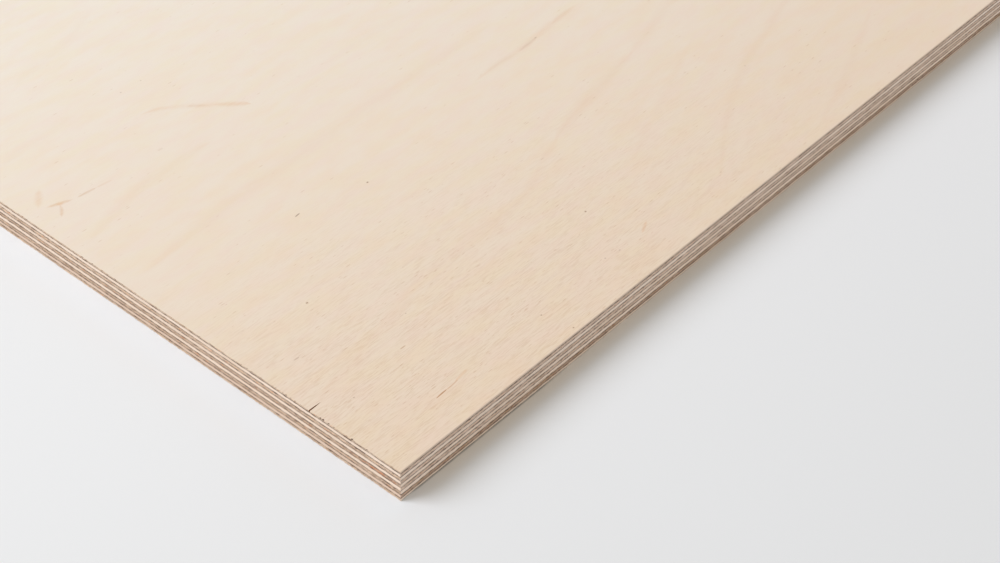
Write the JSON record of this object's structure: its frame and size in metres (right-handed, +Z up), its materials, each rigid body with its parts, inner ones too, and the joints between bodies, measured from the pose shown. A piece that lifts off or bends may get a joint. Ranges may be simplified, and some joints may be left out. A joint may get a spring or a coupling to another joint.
{
  "type": "plywood sheet",
  "caption": "Flat rectangular sheet of birch plywood, made of cross-laid glued veneers, with sanded faces and square sawn edges that show the layers.",
  "frame": {"origin": "centre of the back face, which the sheet lies on", "axes": "+X along the sheet's length and the grain of its face, +Y across its width, +Z up through its thickness to the face"},
  "size_m": [2.44, 1.22, 0.012],
  "materials": {
    "sanded_birch": "fine sanded, unfinished, matt",
    "long_grain_birch": "sawn edge, dry, with brown glue lines",
    "cross_grain_birch": "sawn edge, dry, with brown glue lines"
  },
  "bodies": {
    "root": {"veneer_1_back": "sanded_birch", "veneer_2_cross_grain": "cross_grain_birch", "veneer_3_long_grain": "long_grain_birch", "veneer_4_cross_grain": "cross_grain_birch", "veneer_5_long_grain": "long_grain_birch", "veneer_6_cross_grain": "cross_grain_birch", "veneer_7_long_grain": "long_grain_birch", "veneer_8_cross_grain": "cross_grain_birch", "veneer_9_face": "sanded_birch"}
  },
  "joints": []
}
